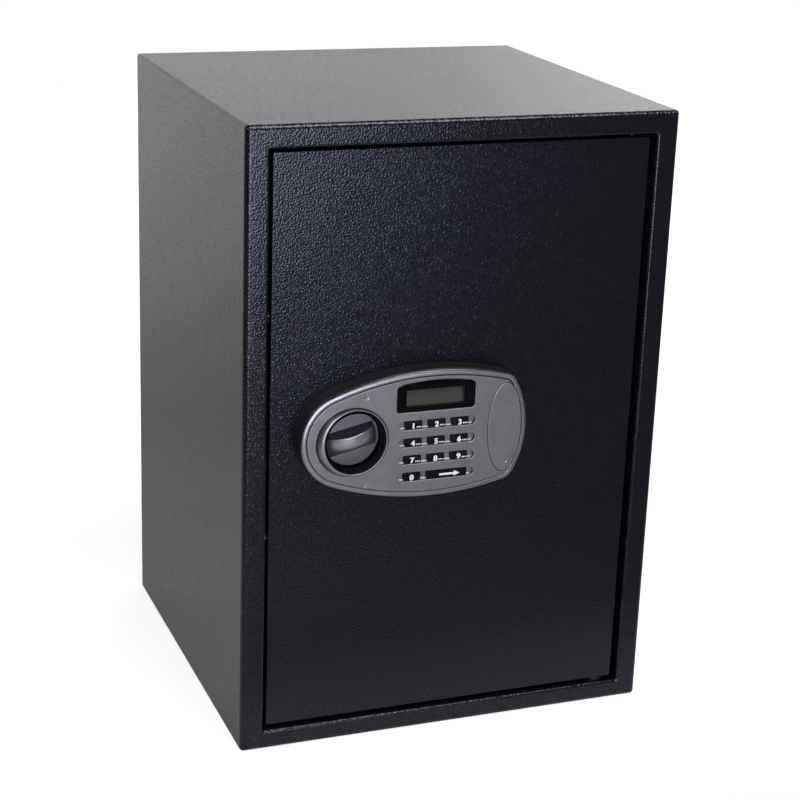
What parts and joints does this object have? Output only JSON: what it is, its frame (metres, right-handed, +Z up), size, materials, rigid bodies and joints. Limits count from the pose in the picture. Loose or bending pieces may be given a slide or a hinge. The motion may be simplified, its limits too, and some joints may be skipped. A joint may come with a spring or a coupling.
{
  "type": "security safe",
  "caption": "Free-standing steel security safe with a recessed hinged door, sliding bolts, keypad lock panel with display, turning knob, covered override lock and a loose inner shelf.",
  "frame": {"origin": "middle of the cabinet's footprint, on the surface it stands on", "axes": "+Z up, the door faces -Y, +X to the right when seen from the front"},
  "size_m": [0.348, 0.3565, 0.5],
  "materials": {
    "powder_coat": "dark navy-charcoal powder coat, fine hammered texture",
    "floor_felt": "needled felt",
    "zinc_plate": "bright zinc plating",
    "bolt_steel": "polished, nickel plated",
    "nylon": "natural nylon",
    "coil_winding": "varnished copper wire under tape",
    "housing_black": "fine matt black",
    "face_silver": "silver-grey metallic paint, satin",
    "cover_silver": "silver-grey metallic paint, satin",
    "display_black": "polished black",
    "display_glass": "grey-green liquid crystal glass, unlit",
    "board_green": "green solder mask",
    "key_black": "fine matt black with white digits",
    "key_mat": "pale grey translucent silicone",
    "plug_brass": "turned brass",
    "knob_grey": "satin dark grey",
    "tray_black": "fine matt black",
    "cell_jacket": "printed sleeve left plain, tinned ends",
    "button_red": "gloss red"
  },
  "bodies": {
    "cabinet": {"body_shell": "powder_coat", "rear_panel": "powder_coat", "floor_mat": "floor_felt", "shelf_rail_left": "powder_coat", "shelf_rail_right": "powder_coat", "hinge_washer": "nylon"},
    "shelf": {"shelf": "powder_coat"},
    "door": {"door_plate": "powder_coat", "door_pan": "powder_coat", "door_cover": "powder_coat", "hinge_block_top": "powder_coat", "hinge_block_bottom": "powder_coat", "hinge_pin_top": "zinc_plate", "hinge_pin_bottom": "zinc_plate", "bolt_bush_upper": "nylon", "bolt_bush_lower": "nylon", "guide_stud_upper": "zinc_plate", "guide_stud_lower": "zinc_plate", "solenoid_yoke": "zinc_plate", "solenoid_coil": "coil_winding", "panel_housing": "housing_black", "panel_face": "face_silver", "display_window": "display_black", "display_module": "display_glass", "circuit_board": "board_green", "key_mat": "key_mat", "lock_cylinder": "zinc_plate", "battery_tray": "tray_black", "battery_cell_1": "cell_jacket", "battery_cell_2": "cell_jacket", "battery_cell_3": "cell_jacket", "battery_cell_4": "cell_jacket", "button_switch": "tray_black"},
    "bolt_work": {"bolt_carriage": "zinc_plate", "live_bolt_upper": "bolt_steel", "live_bolt_lower": "bolt_steel"},
    "knob": {"knob": "knob_grey", "knob_spindle": "zinc_plate", "knob_crank": "zinc_plate"},
    "plunger": {"solenoid_plunger": "bolt_steel"},
    "key_cover": {"keyhole_cover": "cover_silver"},
    "override_plug": {"lock_plug": "plug_brass", "lock_cam": "zinc_plate"},
    "code_button": {"code_button": "button_red"},
    "battery_lid": {"battery_lid": "tray_black"},
    "key_1": {"key_1": "key_black"},
    "key_2": {"key_2": "key_black"},
    "key_3": {"key_3": "key_black"},
    "key_4": {"key_4": "key_black"},
    "key_5": {"key_5": "key_black"},
    "key_6": {"key_6": "key_black"},
    "key_7": {"key_7": "key_black"},
    "key_8": {"key_8": "key_black"},
    "key_9": {"key_9": "key_black"},
    "key_0": {"key_0": "key_black"},
    "key_enter": {"key_enter": "key_black"}
  },
  "joints": [
    {"name": "door_hinge", "type": "hinge", "parent": "cabinet", "child": "door", "pos_m": [0.1395, -0.1525, 0.25], "axis": [0, 0, 1], "range_deg": [0, 105]},
    {"name": "shelf_lift", "type": "slide", "parent": "cabinet", "child": "shelf", "axis": [0, 0, 1], "range_m": [0, 0.02]},
    {"name": "bolt_slide", "type": "slide", "parent": "door", "child": "bolt_work", "axis": [-1, 0, 0], "range_m": [0, 0.015]},
    {"name": "knob_turn", "type": "hinge", "parent": "door", "child": "knob", "pos_m": [-0.0915, -0.17, 0.26], "axis": [0, 1, 0], "range_deg": [0, 56]},
    {"name": "plunger_drop", "type": "slide", "parent": "door", "child": "plunger", "axis": [0, 0, -1], "range_m": [0, 0.0091]},
    {"name": "key_cover_pull", "type": "slide", "parent": "door", "child": "key_cover", "axis": [0, -1, 0], "range_m": [0, 0.03]},
    {"name": "override_turn", "type": "hinge", "parent": "door", "child": "override_plug", "pos_m": [0.0325, -0.15, 0.26], "axis": [0, 1, 0], "range_deg": [0, 90]},
    {"name": "code_button_press", "type": "slide", "parent": "door", "child": "code_button", "axis": [0, -1, 0], "range_m": [0, 0.002], "stiffness_N_per_m": 500},
    {"name": "battery_lid_hinge", "type": "hinge", "parent": "door", "child": "battery_lid", "pos_m": [0, -0.11915, 0.166], "axis": [1, 0, 0], "range_deg": [0, 100]},
    {"name": "key_1_press", "type": "slide", "parent": "door", "child": "key_1", "axis": [0, 1, 0], "range_m": [0, 0.0012], "stiffness_N_per_m": 800},
    {"name": "key_2_press", "type": "slide", "parent": "door", "child": "key_2", "axis": [0, 1, 0], "range_m": [0, 0.0012], "stiffness_N_per_m": 800},
    {"name": "key_3_press", "type": "slide", "parent": "door", "child": "key_3", "axis": [0, 1, 0], "range_m": [0, 0.0012], "stiffness_N_per_m": 800},
    {"name": "key_4_press", "type": "slide", "parent": "door", "child": "key_4", "axis": [0, 1, 0], "range_m": [0, 0.0012], "stiffness_N_per_m": 800},
    {"name": "key_5_press", "type": "slide", "parent": "door", "child": "key_5", "axis": [0, 1, 0], "range_m": [0, 0.0012], "stiffness_N_per_m": 800},
    {"name": "key_6_press", "type": "slide", "parent": "door", "child": "key_6", "axis": [0, 1, 0], "range_m": [0, 0.0012], "stiffness_N_per_m": 800},
    {"name": "key_7_press", "type": "slide", "parent": "door", "child": "key_7", "axis": [0, 1, 0], "range_m": [0, 0.0012], "stiffness_N_per_m": 800},
    {"name": "key_8_press", "type": "slide", "parent": "door", "child": "key_8", "axis": [0, 1, 0], "range_m": [0, 0.0012], "stiffness_N_per_m": 800},
    {"name": "key_9_press", "type": "slide", "parent": "door", "child": "key_9", "axis": [0, 1, 0], "range_m": [0, 0.0012], "stiffness_N_per_m": 800},
    {"name": "key_0_press", "type": "slide", "parent": "door", "child": "key_0", "axis": [0, 1, 0], "range_m": [0, 0.0012], "stiffness_N_per_m": 800},
    {"name": "key_enter_press", "type": "slide", "parent": "door", "child": "key_enter", "axis": [0, 1, 0], "range_m": [0, 0.0012], "stiffness_N_per_m": 800}
  ],
  "couplings": [
    {"joint": "knob_turn", "follows": "bolt_slide", "rad_per_m": 65.15},
    {"joint": "plunger_drop", "follows": "bolt_slide", "ratio": 0.6}
  ]
}
